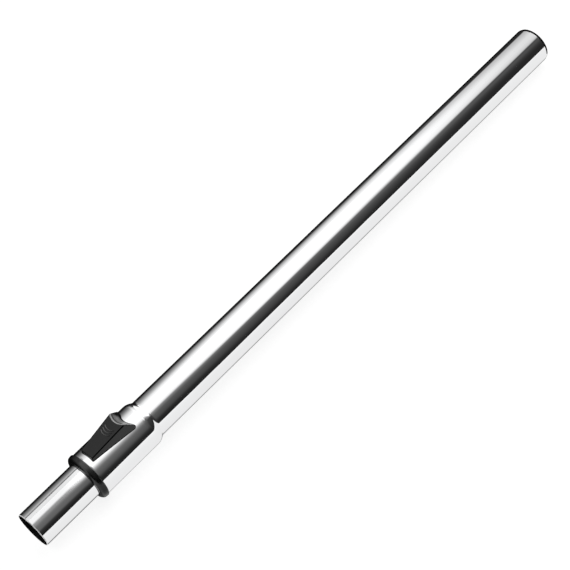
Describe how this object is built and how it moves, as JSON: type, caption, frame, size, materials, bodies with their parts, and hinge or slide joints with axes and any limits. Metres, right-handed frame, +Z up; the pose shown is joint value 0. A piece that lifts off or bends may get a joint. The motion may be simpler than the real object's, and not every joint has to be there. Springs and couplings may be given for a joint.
{
  "type": "telescopic vacuum wand",
  "caption": "Chrome telescopic vacuum wand: a grooved inner tube slides in a wider outer tube and locks with a black wedge-shaped slide button set behind a black end collar.",
  "frame": {"origin": "middle of the wand's footprint on the surface it lies on", "axes": "+X along the wand, from the open spigot to the handle socket; +Z up, on the button's side; the tube axis dips 0.37 degrees towards +X because the wand lies on its collar and its socket end"},
  "size_m": [0.6212, 0.0424, 0.0492],
  "materials": {
    "chrome_tube": "bright polished chrome plating on steel",
    "black_plastic": "fine-grained black moulded plastic",
    "natural_plastic": "natural low-friction acetal, moulded",
    "spring_steel": "plain drawn spring steel",
    "hardened_steel": "ground steel",
    "felt": "dense dark felt",
    "seal_rubber": "soft black seal rubber"
  },
  "bodies": {
    "outer": {"outer_tube": "chrome_tube", "end_collar": "black_plastic", "wiper_ring": "felt", "guide_sleeve": "natural_plastic", "return_spring_left": "spring_steel", "return_spring_right": "spring_steel", "socket_liner": "black_plastic"},
    "inner": {"inner_tube": "chrome_tube", "rear_guide_ring": "natural_plastic", "lip_seal": "seal_rubber"},
    "button": {"slide_button": "black_plastic", "lock_slider": "natural_plastic"},
    "roller": {"lock_roller": "hardened_steel"}
  },
  "joints": [
    {"name": "tube_slide", "type": "slide", "parent": "outer", "child": "inner", "axis": [-1, 0, 0.0065], "range_m": [0, 0.36]},
    {"name": "button_slide", "type": "slide", "parent": "outer", "child": "button", "axis": [-1, 0, 0.0065], "range_m": [0, 0.004], "stiffness_N_per_m": 500, "springref_m": -0.004, "deforming": ["return_spring_left", "return_spring_right"]},
    {"name": "roller_lift", "type": "slide", "parent": "outer", "child": "roller", "axis": [0.0065, 0, 1], "range_m": [0, 0.0012]}
  ],
  "couplings": [
    {"joint": "roller_lift", "follows": "button_slide", "ratio": 0.3}
  ]
}
